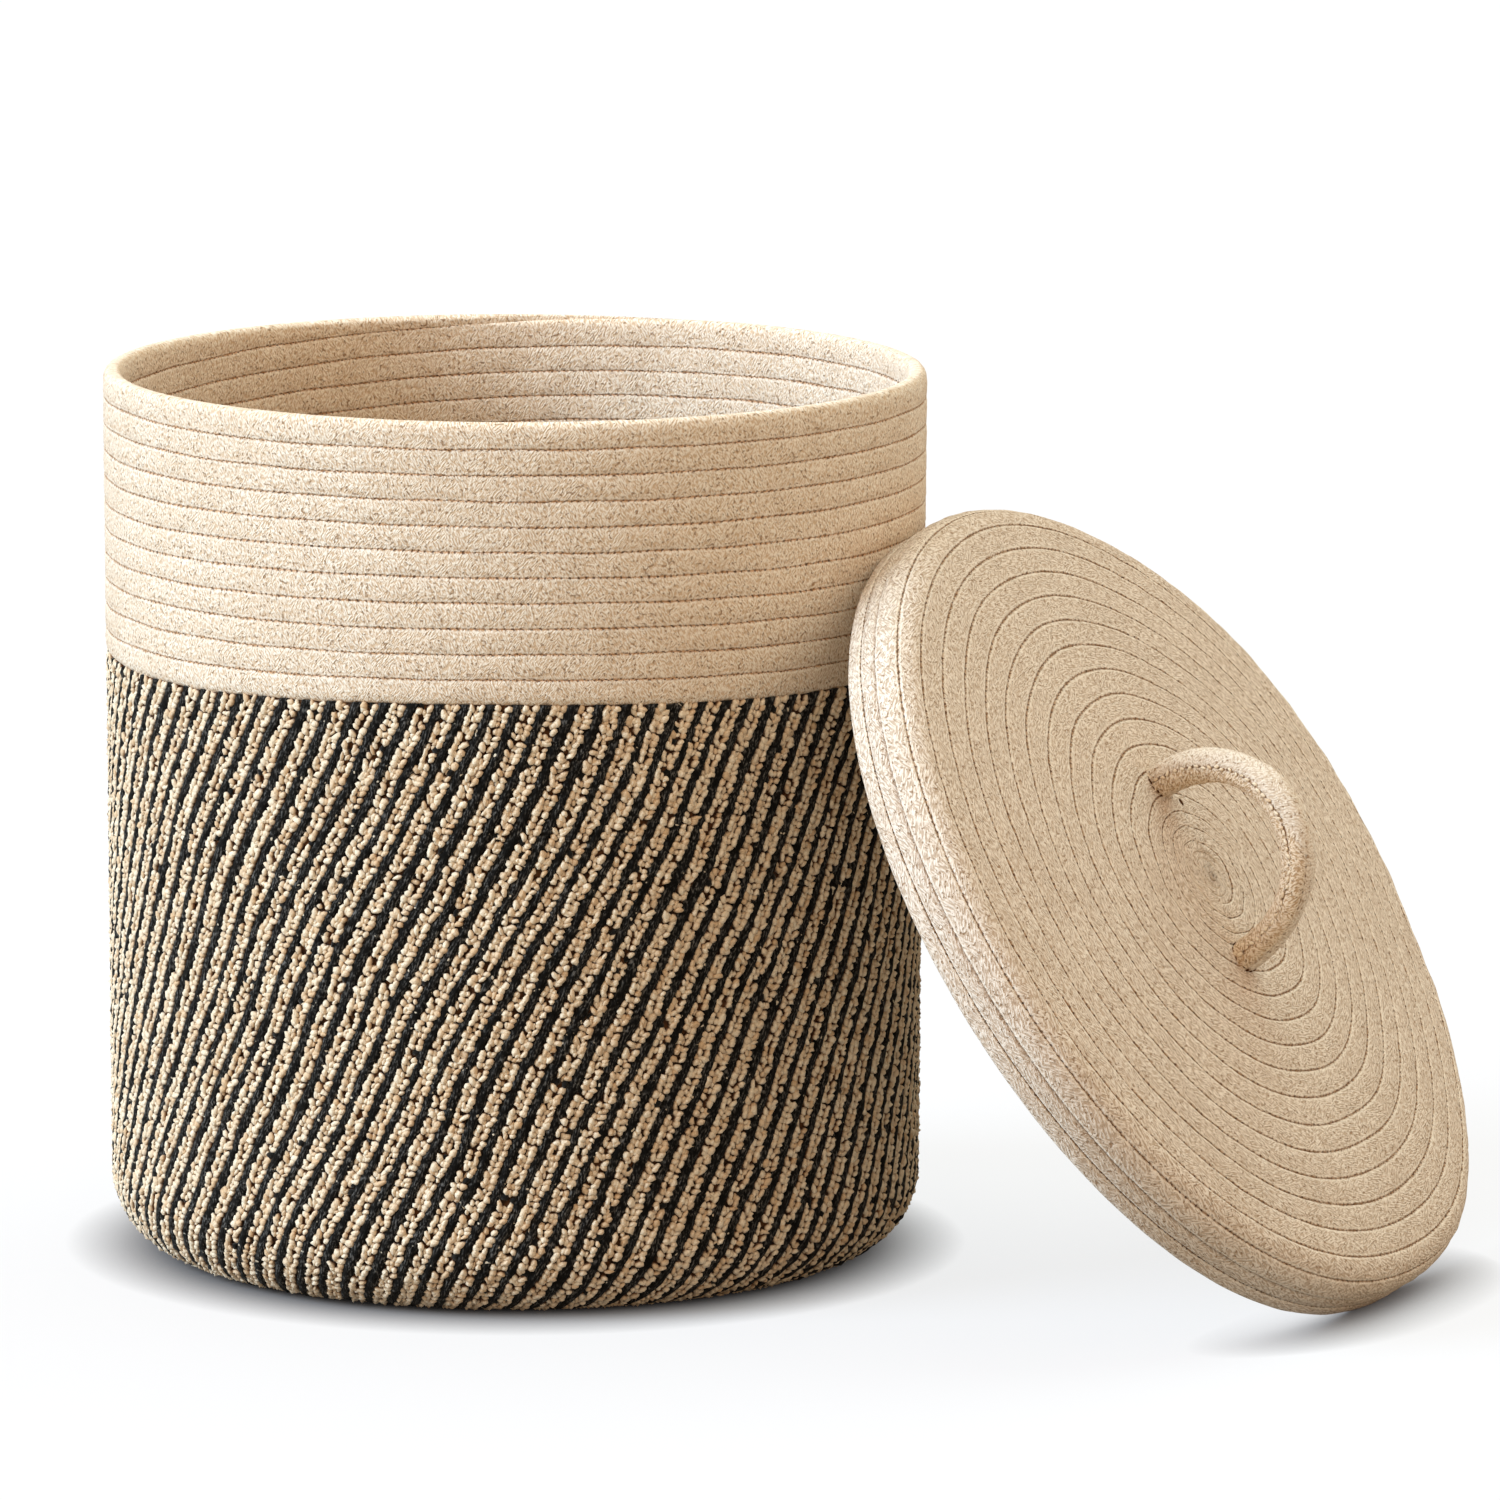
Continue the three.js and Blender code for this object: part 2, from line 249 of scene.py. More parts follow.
def cotton(kind):
    # Felted cotton rope: short fibres slanting both ways with tan between them, painted shade on
    # the lower side of each row, a painted highlight beside the seam, a brown line in the seam
    # painted as shade of its groove, and painted shade in the needle holes along it
    look = cottonLook | cottonLook[kind]
    shader = newMaterial(kind + "_cotton")
    along, rise, level = (shader.attribute(key) for key in ("along", "rise", "level"))
    strokes = [shader.strokes(along, rise, slant, *look["size"]) for slant in look["slants"]]
    size, low, high = look["patch"]
    patch = shader.noise(size, 1).between(low, high)
    fine = shader.noise(look["grain"], 2)
    texture = strokes[0] * (1 - patch) + strokes[1] * patch
    texture = texture * (1 - look["fine"]) + fine * look["fine"]
    fibres = texture.between(*look["mixed"])
    tone = shader.over(colourOf(*look["between"]), fibres, look["fibre"])
    if kind == "handle":
        fuzz = shader.over(colourOf(*look["fuzzBetween"]), fibres, look["fuzzFibre"])
        tone = shader.mix(shader.attribute("fuzz") * look["fuzzy"], tone, fuzz)
    size, low, high, share = look["mottle"]
    tone = shader.over(tone, shader.noise(size, 3).between(low, high) * share, look["between"])
    size, low, high, share = look["uneven"]
    uneven = shader.noise(size, 2)
    # Painted shade on each row's lower side, in the low colour
    paintedRowShade = level.between(*look["rowShadeSide"]) * uneven.between(low, high)
    tone = shader.over(tone, paintedRowShade * share, look["low"])
    size, low, high, share = look["pitting"]
    pits = (shader.noise(size, 0) + level * 0.04).between(low, high)
    tone = shader.over(tone, pits * share, look["pit"])
    edge = abs(level) + (uneven - 0.5) * look["ragged"]
    low, high = look["seam"]
    # A painted highlight along both sides of the seam
    outer, crest, inner = (low - away for away in look["ridgeSides"])
    ridge = edge.between(outer, crest) - edge.between(inner, low)
    tone = shader.over(tone, ridge * look["highlightShare"], look["ridge"])
    # The brown line along the seam and groove is painted shade of the groove, in the thread
    # colour
    tone = shader.over(tone, edge.between(low, high) * look["line"], look["thread"])
    # Painted shade in the needle holes along the seam
    often, far = look["astray"]
    place = along + shader.noise(often, 1) * far
    beat = (place * (2 * math.pi / look["stitch"])).maths("SINE")
    holeShade = edge.between(low - 0.02, (low + high) / 2)
    holeShade = holeShade * (beat + (fine - 0.5) * 2).between(0.5, 1.0)
    tone = shader.over(tone, holeShade * look["holeShade"], look["holeShadeColour"])
    height = texture - holeShade * look["holeDepth"] - pits * look["pitDepth"]
    return shader.finish(tone, shader.bump(height, look["relief"]), sheen=0.2, specular=0.04)


wallCotton, lidCotton, handleCotton = (cotton(kind) for kind in ("wall", "lid", "handle"))

clothLook = {
    "yarn": (248, 230, 197),
    "dull": (220, 186, 143),
    # the brown of the painted shade in creases, also the darker strands of the thread
    "creaseShadeAndStrand": (124, 78, 42),
    "charcoal": (18, 16, 13),
    "fluff": (122, 118, 110),
    # ground: the pale stripes' ground between the knots, painted dark brown as shade
    "ground": (58, 40, 28),
    "thread": (62, 36, 18),
    "strand": 0.0010,
    "strandRelief": 0.0006,
    "threadStrand": 0.0008,
    "threadRelief": 0.0003,
    "fluffSize": (12, 0.0030, 0.0008),  # slant, length and width of its fibres
    "fluffy": (0.47, 0.66),  # from and to which value it comes in
    "grain": 0.0011,
    # Size, from and to which value it comes in, how strongly
    "blotch": (0.006, 0.30, 0.62, 0.7),
    "speck": (0.0024, 0.80, 0.84, 0.7),
    "knots": (0.0034, 0.36, 0.62, 0.5),
    "knotsInside": 0.6,
    "relief": 0.0013,
}


def yarn(look):  # pale knotted yarn with painted shade down in the creases, each knot a little different
    shader = newMaterial("knotted_yarn")
    crown, tint = shader.attribute("crown"), shader.attribute("tint")
    strands = shader.noise(look["strand"], 2)
    tone = shader.over(colourOf(*look["dull"]), tint.between(0, 1), look["yarn"])
    tone = shader.over(tone, strands.between(0.38, 0.62) * 0.3, look["dull"])
    # Painted shade down in the creases, away from each knot's crown
    paintedCreaseShade = 1 - (crown + strands * 0.3).between(-0.05, 0.85)
    tone = shader.over(tone, paintedCreaseShade, look["creaseShadeAndStrand"])
    tone = shader.over(tone, 1 - tint.between(-0.8, -0.2), look["charcoal"])
    return shader.finish(tone, shader.bump(strands, look["strandRelief"]), sheen=0.25)


def felt(look):  # charcoal felt with grey fluff. The pale stripes go right through the cloth, with painted shade between their knots.
    shader = newMaterial("striped_felt")
    keys = ("stripe", "inside", "along", "rise")
    stripe, inside, along, rise = (shader.attribute(key) for key in keys)
    fluff = shader.strokes(along, rise, *look["fluffSize"])
    fine = shader.noise(look["grain"], 3, 0.7)
    size, low, high, share = look["blotch"]
    blotch = shader.noise(size, 2)
    light = (fluff * 0.5 + fine * 0.5).between(*look["fluffy"]) * blotch.between(low, high)
    tone = shader.over(colourOf(*look["charcoal"]), light * share, look["fluff"])
    size, low, high, share = look["speck"]
    tone = shader.over(tone, shader.noise(size, 0).between(low, high) * share, look["yarn"])
    # On the pale stripes the ground between the knots is painted dark brown as shade, with
    # painted crease shade in a knot pattern on both faces
    size, low, high, share = look["knots"]
    knots = shader.noise(size, 1).between(low, high)
    outer = shader.over(colourOf(*look["ground"]), knots * share, look["creaseShadeAndStrand"])
    inner = shader.over(colourOf(*look["dull"]), knots * look["knotsInside"], look["creaseShadeAndStrand"])
    tone = shader.mix(stripe.between(0.35, 0.65), tone, shader.mix(inside, outer, inner))
    height = fluff * 0.3 + fine * 0.4 + blotch * 0.3 + knots * stripe * 0.4
    bump = shader.bump(height, look["relief"])
    return shader.finish(tone, bump, roughness=0.95, sheen=0.04, specular=0.06)


def thread(look):  # dark brown sewing thread
    shader = newMaterial("dark_thread")
    strands = shader.noise(look["threadStrand"], 1)
    tone = shader.mix(strands, colourOf(*look["thread"]), colourOf(*look["creaseShadeAndStrand"], lift=0.6))
    return shader.finish(tone, shader.bump(strands, look["threadRelief"], 0.8), sheen=0.0)


knottedYarn = yarn(clothLook)
darkThread = thread(clothLook)
stripedFelt = felt(clothLook)
print("finishes made")


# What the frame says of the sizes
rimLow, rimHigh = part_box("plain_wall")
clothLow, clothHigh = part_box("striped_wall")
bandLow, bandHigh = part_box("lid_band")
rope = {"row": 0.0125, "thickness": 0.0095, "rows": 11}
rimRadius = (rimHigh.x - rimLow.x) / 2
plainHeight = rope["rows"] * rope["row"]
touching = 0.0002  # overlap of pieces that are sewn to each other
hair = 0.0001  # a step too small to be seen
rimHeight = rimLow.z + plainHeight - touching
lidAxis = Vector(frame["joints"][0]["axis"]).normalized()
tilt = math.atan2(lidAxis.x, lidAxis.z)
lidMiddle = (bandLow + bandHigh) / 2  # the middle of the band, on the lid's axis
lidPlace = Matrix.Translation(lidMiddle) @ Matrix.Rotation(tilt, 4, "Y")


def smooth(share):
    share = np.clip(share, 0, 1)
    return share * share * (3 - 2 * share)


def wander(seed, turn, along, waves):
    # A smooth unevenness: waves lists its height, its waves in a turn and its waves in a metre
    random = np.random.default_rng(seed)
    total = np.zeros(np.broadcast(turn, along).shape)
    for height, inTurn, inMetre in waves:
        for _ in range(3):
            count = int(inTurn * random.uniform(0.6, 1.4)) * random.choice((-1, 1))
            lift = inMetre * random.uniform(0.6, 1.4) * 2 * math.pi
            start = random.uniform(0, 6.28)
            total += height / 3 * np.sin(count * turn + lift * along + start)
    return total


class Meridian:
    # The line of the rope's middle in a half plane through the axis, made of lines and arcs.
    # Its heading is the angle below the outward horizontal.
    def __init__(self, radius, height, heading):
        self.pieces = [(0, 0, radius, height, heading)]
        self.length = 0

    def add(self, length, bend):
        start, _, *place = self.pieces[-1]
        self.pieces[-1] = (start, bend, *place)
        self.length = start + length
        end = (float(value) for value in self.at(np.array(self.length)))
        self.pieces.append((self.length, 0, *end))
        return self

    def at(self, distance):
        found = None
        for start, bend, radius, height, heading in self.pieces:
            gone = distance - start
            turned = heading + bend * gone
            if bend:
                out = radius + (np.sin(turned) - math.sin(heading)) / bend
                down = (math.cos(heading) - np.cos(turned)) / bend
            else:
                out = radius + gone * math.cos(heading)
                down = gone * math.sin(heading)
            here = (out, height - down, turned)
            if found is not None:
                here = [np.where(gone >= 0, new, old) for new, old in zip(here, found)]
            found = here
        return found


def point(meridian, distance, across, angle):
    # A place so far along the meridian, so far out of it, and so far round the axis
    radius, height, heading = meridian.at(distance)
    out = radius + across * np.sin(heading)
    up = height + across * np.cos(heading)
    return np.stack([out * np.cos(angle), out * np.sin(angle), up + 0 * angle], -1)


def meshFrom(name, points, faces, material, values):
    mesh = bpy.data.meshes.new(name)
    mesh.vertices.add(len(points))
    mesh.vertices.foreach_set("co", points.astype(np.float32).ravel())
    mesh.loops.add(faces.size)
    mesh.loops.foreach_set("vertex_index", faces.astype(np.int32).ravel())
    mesh.polygons.add(len(faces))
    starts = np.arange(len(faces), dtype=np.int32) * faces.shape[1]
    mesh.polygons.foreach_set("loop_start", starts)
    mesh.polygons.foreach_set("use_smooth", np.ones(len(faces), bool))
    mesh.update(calc_edges=True)
    for key, value in values.items():
        attribute = mesh.attributes.new(key, "FLOAT", "POINT")
        attribute.data.foreach_set("value", value.astype(np.float32).ravel())
    mesh.materials.append(material)
    piece = bpy.data.objects.new(name, mesh)
    scene.collection.objects.link(piece)
    return piece


def standOnFloor(piece):  # pressed flat where it would go below the floor
    places = np.array([v.co for v in piece.data.vertices])
    places[:, 2] = np.maximum(places[:, 2], hair)
    piece.data.vertices.foreach_set("co", places.astype(np.float32).ravel())
    piece.data.update()


def ringFaces(rings, sides, closes):
    # Quads between rings of points. The sides always close, and the rings if asked.
    ring = np.arange(rings if closes else rings - 1)[:, None]
    side = np.arange(sides)[None, :]
    after, beside = (ring + 1) % rings, (side + 1) % sides
    here, there = ring * sides, after * sides
    corners = [here + side, here + beside, there + beside, there + side]
    return np.stack(corners, -1).reshape(-1, 4)


def ropeMesh(name, places, material, values):
    # A skin through rings of points, with both ends filled
    rings, sides = places.shape[:2]
    faces = ringFaces(rings, sides, False)
    piece = meshFrom(name, places.reshape(-1, 3), faces, material, values)
    bpy.context.view_layer.objects.active = piece
    piece.select_set(True)
    bpy.ops.object.mode_set(mode="EDIT")
    bpy.ops.mesh.select_all(action="SELECT")
    bpy.ops.mesh.fill_holes(sides=0)
    bpy.ops.mesh.normals_make_consistent(inside=False)
    bpy.ops.object.mode_set(mode="OBJECT")
    piece.select_set(False)
    return piece


# Coiled rope. A row lies between the edge one turn before and the edge there, as distances along
# the meridian, so the coil is level round the front and climbs at the back.
coil = {
    "climbSpan": 120 / 360,
    "sides": 24,
    "thinnest": 0.0006,  # a row thinner than this is left out
    "start": 0.0004,  # how near the axis a spiral starts
    "edgeRound": 0.006,  # how near to a free edge the section gets rounder
    "edgeSquare": 2.6,
    "puff": [(0.00025, 14, 4), (0.0003, 47, 5)],
    "thinning": 2.2,
    "faintRow": 0.0041,  # rows about as thin as this show fainter seams
    "faintFrom": 2.2,
    "faint": 0.10,
    "twist": 0.013,
    "puffStep": 0.2,  # metres that a turn counts for, so that each row is uneven in its own way
    "fibreStep": 0.05,
}


def levelRows(turns):
    whole = np.floor(turns)
    return whole + smooth((turns - whole) / coil["climbSpan"])


def asIs(distance, angle):
    return distance


def windRope(name, meridian, edge, turns, look, material, warp=asIs):
    # The section is squarish, and rounder along the coil's two free edges. Rows overlap by a
    # small part, "lap", because they are pressed together.
    around = np.arange(coil["sides"])[None, :] / coil["sides"] * 2 * math.pi
    low, high = edge(turns - 1), edge(turns)
    thick = (high - low) > coil["thinnest"]
    turns, low, high = turns[thick][:, None], low[thick][:, None], high[thick][:, None]
    first, last = low.min(), high.max()
    cosine, sine = -np.cos(around), np.sin(around)
    free = np.where(cosine < 0, first - low, high - last)  # 0 on a free edge, below 0 inside
    free = smooth(1 + free / coil["edgeRound"]) * look.get("round", 1)
    power = 2 / (look["square"] + (coil["edgeSquare"] - look["square"]) * free)
    share = np.sign(cosine) * np.abs(cosine) ** power
    side = np.sign(sine) * np.abs(sine) ** power
    angle = math.radians(look["startAngle"]) + turns * 2 * math.pi
    puff = wander(look["seed"], angle + share, turns * coil["puffStep"], coil["puff"])
    half = (high - low) / 2 * (1 + look["lap"])
    thin = smooth((high - low) / rope["row"] * coil["thinning"])
    faint = coil["faint"] * smooth(coil["faintFrom"] - (high - low) / coil["faintRow"])
    if look.get("blunt"):  # the rope starts at its full height, in the middle of a spiral
        thin = np.where(turns < turns.min() + 1, 1, thin)
    distance = warp((low + high) / 2 + share * half, angle)
    places = point(meridian, distance, side * (rope["thickness"] / 2 * thin + puff), angle)
    gone = np.linalg.norm(np.diff(places.mean(1), axis=0), axis=1)
    along = np.concatenate([[0], np.cumsum(gone)])[:, None] + 0 * share
    twist = 2 * math.pi * along / coil["twist"] + around
    values = {
        "level": np.clip(share * (1 + look["lap"]), -1, 1) * (1 - free * 0.5) * (1 - faint),
        "along": along,
        "rise": share * half + turns * coil["fibreStep"],
        "stripe": 0.5 + 0.5 * np.sin(twist),
        "inside": 1 + 0 * along,
    }
    return ropeMesh(name, places, material, values)


plainRows = {
    "stepsPerTurn": 300,
    "startAngle": 75,
    "square": 7.0,
    "lap": 0.10,
    "seed": 11,
    "uneven": [(0.0005, 6, 10), (0.0003, 21, 26)],
    "settled": 0.01,  # the top edge is even, and the rows are uneven from here down
}
# The seam with the cloth is not quite level at the front. The rise fades out down the cloth.
frontRise = {"height": 0.004, "middle": -66, "spread": 60, "fades": 0.2}
lean = math.atan2(0.002, 0.394)  # the wall's rim is 2 mm further out than its foot's corner
wallLine = Meridian(rimRadius - rope["thickness"] / 2, rimHeight, math.pi / 2 + lean)
wallLine.add(plainHeight, 0)


def riseAt(angle):
    aside = (np.degrees(angle) - frontRise["middle"] + 180) % 360 - 180
    return frontRise["height"] * smooth(1 - np.abs(aside) / frontRise["spread"])


def wallEdge(turns):
    return np.clip(levelRows(turns) * rope["row"], 0, plainHeight)


def liftedRow(distance, angle):
    uneven = wander(plainRows["seed"] + 1, angle, distance, plainRows["uneven"])
    uneven = uneven * smooth(distance / plainRows["settled"])
    return distance * (1 - riseAt(angle) / plainHeight) + uneven


def makePlainWall(look):
    turns = np.arange((rope["rows"] + 1) * look["stepsPerTurn"] + 1) / look["stepsPerTurn"]
    piece = windRope("plain_wall_rope", wallLine, wallEdge, turns, look, wallCotton, liftedRow)
    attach(piece, "basket")
    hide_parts("plain_wall")


makePlainWall(plainRows)
print("plain wall wound")


# The striped lower wall: felt ribs, and between them two columns of pale knots along each stripe
cloth = {
    "stripes": 95,
    "slant": 63,  # degrees between a stripe and the horizontal
    "corner": 0.038,
    "base": 0.0030,  # of the pale ground between the ribs, below the wall's outer face
    "rib": 0.0025,  # height of a dark rib above that ground
    "down": 100,
    "downInside": 24,
    "seed": 21,
    # Columns of points in each stripe: place in it, height of the rib, 1 on pale ground
    "columns": [
        (-0.21, 0, 1), (0, 0, 1), (0.21, 0, 1),
        (0.275, 0.4, 0), (0.36, 0.88, 0), (0.50, 1, 0), (0.64, 0.88, 0), (0.725, 0.4, 0),
    ],
    "lumps": (0.00018, 0.0002),  # anywhere, and more on a rib
    "innerRelief": (-0.0003, 0.0006),
    "wander": [(0.0030, 4, 4), (0.0016, 9, 9), (0.0009, 21, 16)],
    "wanderSeed": 5,
}
half = rope["thickness"] / 2
clothBend = cloth["corner"] - half
clothTop = clothHigh.z + touching
clothDrop = (clothTop - half - clothBend * (1 - math.sin(lean))) / math.cos(lean)
clothLine = Meridian((clothHigh.x - clothLow.x) / 2 - half, clothTop, math.pi / 2 + lean)
clothLine.add(clothDrop, 0).add(clothBend * (math.pi / 2 - lean), 1 / clothBend)
stripeTwist = 1 / (math.tan(math.radians(cloth["slant"])) * rimRadius)


def stripeAngle(phase, distance):
    # Where a stripe lies at a distance down the wall. It wanders a little as it goes.
    turn = phase * 2 * math.pi - distance * stripeTwist
    return turn + wander(cloth["wanderSeed"], turn, distance, cloth["wander"]) / rimRadius


def liftedCloth(distance, angle):
    return distance - riseAt(angle) * np.clip(1 - distance / frontRise["fades"], 0, 1)


def makeFelt(look):
    offset, rib, stripe = (np.array(values) for values in zip(*look["columns"]))
    number = np.arange(look["stripes"])[:, None]
    phase = ((number + offset) / look["stripes"]).reshape(-1, 1)
    rib, stripe = (np.tile(values, look["stripes"])[:, None] for values in (rib, stripe))
    outer = np.linspace(0, clothLine.length, look["down"])[None, :]
    inner = np.linspace(clothLine.length, 0, look["downInside"])[None, :]
    lumps = np.random.default_rng(look["seed"]).normal(size=(len(phase), look["down"]))
    lumps = lumps * (look["lumps"][0] + rib * look["lumps"][1])
    angle = stripeAngle(phase, outer)
    out = half - look["base"] + rib * look["rib"] + lumps
    outside = point(clothLine, liftedCloth(outer, angle), out, angle)
    angle = stripeAngle(phase, inner)
    out = -half + look["innerRelief"][0] + stripe * look["innerRelief"][1]
    inside = point(clothLine, liftedCloth(inner, angle), out, angle)
    places = np.concatenate([outside, inside], 1)
    faces = ringFaces(len(phase), places.shape[1], True)[:, ::-1]
    down = np.concatenate([outer, inner + clothLine.length], 1)
    down = down / math.sin(math.radians(look["slant"]))
    values = {
        "stripe": stripe + 0 * places[..., 0],
        "along": down + 0 * places[..., 0],
        "rise": phase * 2 * math.pi * rimRadius + 0 * places[..., 0],
        "inside": (np.arange(places.shape[1]) >= look["down"]) + 0 * places[..., 0],
    }
    piece = meshFrom("striped_wall_felt", places.reshape(-1, 3), faces, stripedFelt, values)
    standOnFloor(piece)
    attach(piece, "basket")
    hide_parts("striped_wall")


makeFelt(cloth)
print("felt made")

knot = {
    "length": 0.0045,
    "width": 0.0036,
    "height": 0.0038,
    "step": 0.0031,  # from one knot to the next along a stripe
    "apart": 0.0042,  # between the two columns
    "turned": 32,  # degrees that a knot is turned away from its stripe
    "between": 0.75,  # share of places where a small knot sits between the columns
    "gaps": 0.015,  # share of knots that are charcoal and lie lower
    "pieces": 8,
    "seed": 31,
    "grainSeed": 41,
    # How far knots differ, as a usual difference
    "rough": 0.14,
    "alongAstray": 0.15,
    "asideAstray": 0.00035,
    "turnAstray": 0.35,
    "outAstray": 0.0004,
    "sizeAstray": (0.15, 0.16, 0.08),
    "tint": (0.62, 0.28),
    "outLimits": (-0.0009, 0.0004),
    "spreadWaves": [(0.22, 13, 14)],
    "spreadSeed": 7,
    "narrowest": 0.3,
    "smaller": (0.8, 0.8, 0.9),  # a knot between the columns
    "smallSunk": 0.0005,
    "gapSunk": 0.0007,
    "proud": 0.0003,  # the most that a knot stands out of the wall's face
    "ends": (0.0016, 0.001),  # of a stripe, left free at the seam and at the floor
}


def oneKnot():
    # A plump grain of yarn, pinched towards its ends, which is copied all over the cloth
    bpy.ops.mesh.primitive_uv_sphere_add(segments=6, ring_count=4, radius=1)
    grain = bpy.context.object
    bpy.ops.object.mode_set(mode="EDIT")
    bpy.ops.mesh.select_all(action="SELECT")
    bpy.ops.transform.rotate(value=math.pi / 2, orient_axis="X", center_override=(0, 0, 0))
    bpy.ops.mesh.quads_convert_to_tris()
    bpy.ops.object.mode_set(mode="OBJECT")
    points = np.array([v.co for v in grain.data.vertices])
    # Sorted, because the triangles' order changes from run to run
    faces = np.array(sorted(list(p.vertices) for p in grain.data.polygons))
    bpy.data.objects.remove(grain)
    return points, faces


def scatter(name, shape, centres, axes, sizes, tint, seed, material):
    # Copies of one shape, each with its own turn and size and a little irregular
    points, faces = shape
    random = np.random.default_rng(seed)
    count, corners = len(centres), len(points)
    rough = 1 + random.normal(size=(count, corners, 1)) * knot["rough"]
    local = points[None] * rough * sizes[:, None, :]
    places = centres[:, None, :] + np.einsum("nci,nij->ncj", local, axes)
    allFaces = faces[None] + (np.arange(count) * corners)[:, None, None]
    values = {"crown": np.tile(points[:, 2], count), "tint": np.repeat(tint, corners)}
    return meshFrom(name, places.reshape(-1, 3), allFaces.reshape(-1, 3), material, values)


def clothAxes(distance, angle, turned):
    # Across the stripe, along it and out of the wall, for each knot
    small = 0.0005
    here = point(clothLine, distance, 0, angle)
    along = point(clothLine, distance + small, 0, angle - small * stripeTwist) - here
    out = point(clothLine, distance, small, angle) - here
    along, out = (way / np.linalg.norm(way, axis=-1, keepdims=True) for way in (along, out))
    across = np.cross(along, out)
    cosine, sine = np.cos(turned)[:, None], np.sin(turned)[:, None]
    return np.stack([across * cosine + along * sine, along * cosine - across * sine, out], 1)


def makeKnots(look):
    shape = oneKnot()
    slant = math.sin(math.radians(cloth["slant"]))
    down = look["step"] * slant
    random = np.random.default_rng(look["seed"])
    rows = int(clothLine.length / down)
    places = np.meshgrid(np.arange(cloth["stripes"]), np.arange(rows), (-1, 0, 1))
    stripe, row, side = (place.ravel() for place in places)
    keep = (side != 0) | (random.random(len(side)) < look["between"])
    stripe, row, side = stripe[keep], row[keep], side[keep]
    count = len(stripe)
    distance = (row + 0.5 + side * 0.25 + random.normal(size=count) * look["alongAstray"]) * down
    distance = np.clip(distance, look["ends"][0], clothLine.length - look["ends"][1])
    phase = stripe / cloth["stripes"]
    radius = clothLine.at(distance)[0]
    narrow = np.clip(radius / rimRadius, look["narrowest"], 1)
    waves = wander(look["spreadSeed"], phase * 2 * math.pi, distance, look["spreadWaves"])
    spread = narrow * (1 + waves)
    aside = side * look["apart"] / 2 * spread + random.normal(size=count) * look["asideAstray"]
    angle = stripeAngle(phase, distance) + aside / slant / radius
    distance = liftedCloth(distance, angle)
    turned = -np.radians(look["turned"]) * side + random.normal(size=count) * look["turnAstray"]
    axes = clothAxes(distance, angle, turned)
    # Near the middle of the foot the knots are narrower and a little shorter
    plump = 1 + random.normal(size=(count, 3)) * look["sizeAstray"]
    plump = plump * narrow[:, None] ** (1, 0.3, 0)
    sizes = np.array([[look["width"], look["length"], look["height"]]]) / 2 * plump
    sizes[side == 0] *= look["smaller"]
    sunk = random.random(count) < look["gaps"]
    astray = np.clip(random.normal(size=count) * look["outAstray"], *look["outLimits"])
    depth = half - look["height"] / 2 + astray
    depth = depth - np.where(sunk, look["gapSunk"], 0) - np.where(side == 0, look["smallSunk"], 0)
    depth = np.minimum(depth, half + look["proud"] - sizes[:, 2])
    centres = point(clothLine, distance, depth, angle)
    usual, differs = look["tint"]
    tint = np.where(sunk, -1, np.clip(usual + random.normal(size=count) * differs, 0, 1))
    share = (stripe * look["pieces"]) // cloth["stripes"]
    for number in range(look["pieces"]):
        here = share == number
        own = [values[here] for values in (centres, axes, sizes, tint)]
        name = f"yarn_knots_{number + 1}"
        seed = look["grainSeed"] + number
        piece = scatter(name, shape, *own, seed, knottedYarn)
        standOnFloor(piece)
        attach(piece, "basket")
    print("knots:", count)


makeKnots(knot)

# The lid, made in its own frame, with the middle of its band at the origin, and then put in place
lid = {
    "domeRise": 0.0129,
    "shoulder": 0.012,
    "topRow": 0.0132,
    "sideRow": 0.0088,
    "middleRow": 0.0082,  # the rope starts thinner
    "middleTurns": 5,
    "innerRow": 0.0041,  # and is sewn down in the very middle, a turn more for each such row
    "innerTurns": 4,
    "evenTurns": 8,
    "shoulderRows": 2,
    "bandRows": 2,
    "step": 0.0045,  # along the rope
    "fineSteps": 400,  # for each turn, to measure the rope with
    "leastRadius": 0.006,  # a turn counts as at least this wide
    "seed": 52,
    "uneven": [(0.0016, 3, 6), (0.0006, 8, 16)],
    "settled": 0.03,  # how far from the middle and the edge the rings get uneven
    "stretch": 0.045,  # of the lid's far half, which is slightly out of round
    # Middle and spread in degrees, and height at the edge
    "bulges": ((26, 19, 0.007), (73, 14, -0.0045), (118, 20, 0.005)),
}
topRope = {"startAngle": 60, "square": 6, "lap": 0.07, "seed": 51, "blunt": True, "round": 0}
bandRope = {"startAngle": 60, "square": 4.5, "lap": 0.05, "seed": 61}
acrossBand = (bandHigh.x - bandLow.x, bandHigh.z - bandLow.z)
lidRadius = acrossBand[0] * math.cos(tilt) - acrossBand[1] * math.sin(tilt)
lidRadius = lidRadius / 2 / math.cos(2 * tilt)
bandRadius = lidRadius - half


def lidShape():  # the slope at the top's edge and the dome's radius, closer with each round
    slope = 0
    for _ in range(8):
        topRadius = bandRadius - lid["shoulder"] * (1 - math.sin(slope))
        slope = 2 * math.atan(lid["domeRise"] / topRadius)
    return slope, topRadius / math.sin(slope)


